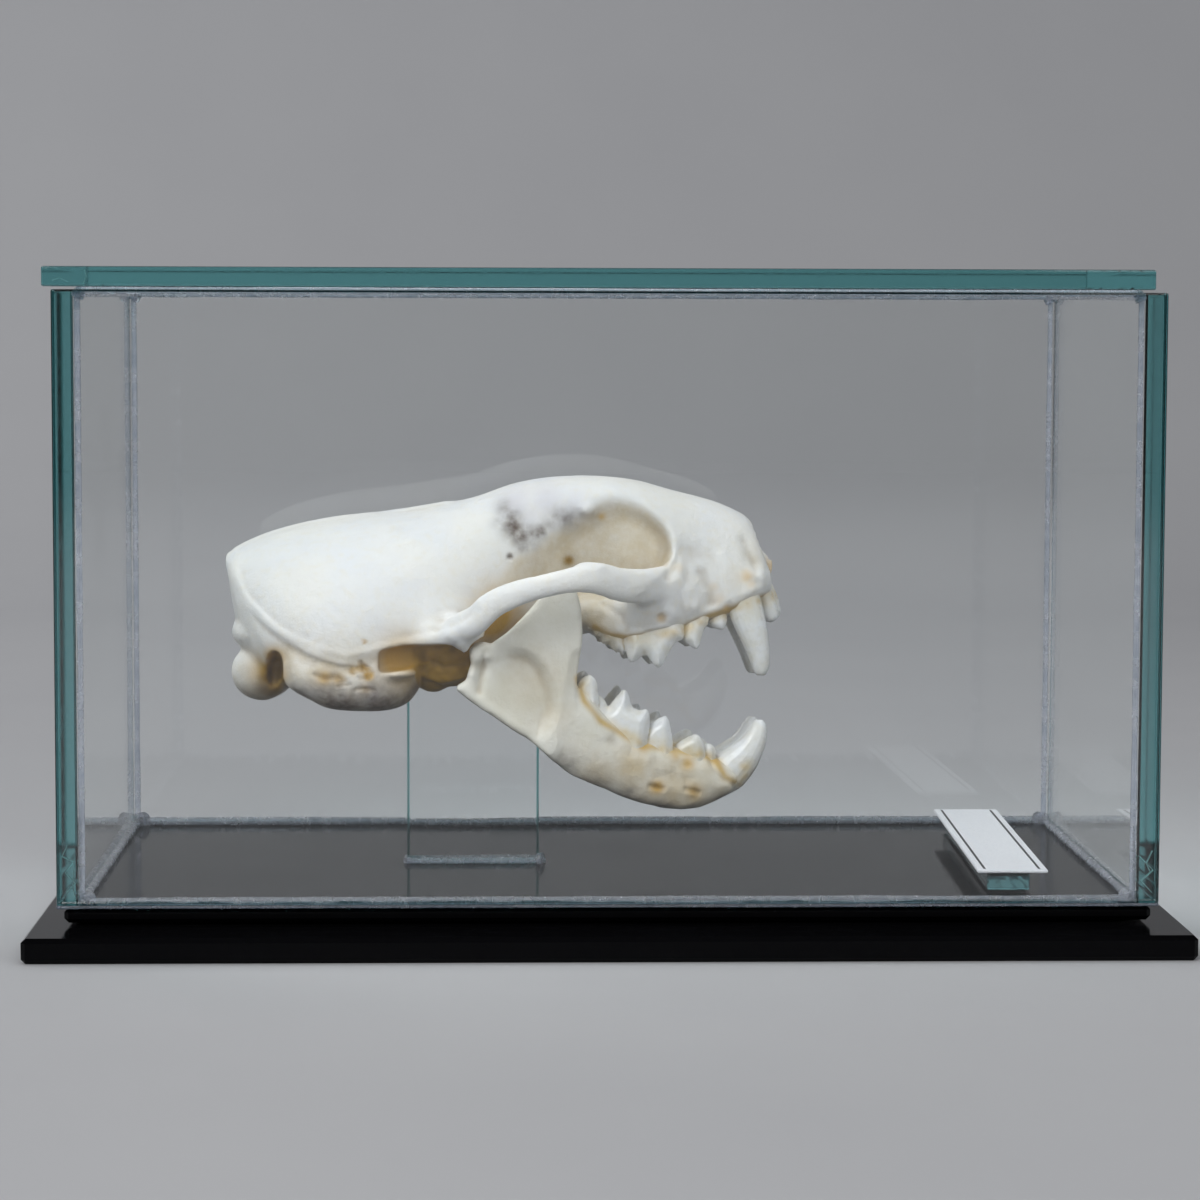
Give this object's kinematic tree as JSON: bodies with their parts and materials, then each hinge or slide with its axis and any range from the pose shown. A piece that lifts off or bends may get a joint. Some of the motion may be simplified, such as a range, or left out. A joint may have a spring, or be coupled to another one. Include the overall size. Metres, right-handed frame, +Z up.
{
  "type": "polecat skull in a glass case",
  "caption": "Life-size polecat skull with open jaws on a clear post, sealed in a glass case on a black base, with a bare label card.",
  "frame": {"origin": "middle of the underside of the base board", "axes": "+Z up, +X the way the skull faces, +Y to the animal's left; the open side that the picture shows is at -Y"},
  "size_m": [0.128, 0.081, 0.0752],
  "materials": {
    "bone": "smooth dry bone, cool white braincase and ivory jaws",
    "teeth": "glossy enamel, yellowed at the gum line",
    "clear_glass": "polished clear glass with green edges",
    "sealant": "clear to whitish silicone beads",
    "black_gloss": "polished black",
    "card": "matt white card with thin black ruled edges"
  },
  "bodies": {
    "root": {"cranium": "bone", "mandible_left": "bone", "mandible_right": "bone", "post": "clear_glass", "pane_front": "clear_glass", "pane_back": "clear_glass", "pane_left": "clear_glass", "pane_right": "clear_glass", "pane_top": "clear_glass", "plinth": "black_gloss", "base_board": "black_gloss", "label_block": "clear_glass", "label_card": "card"}
  },
  "joints": []
}
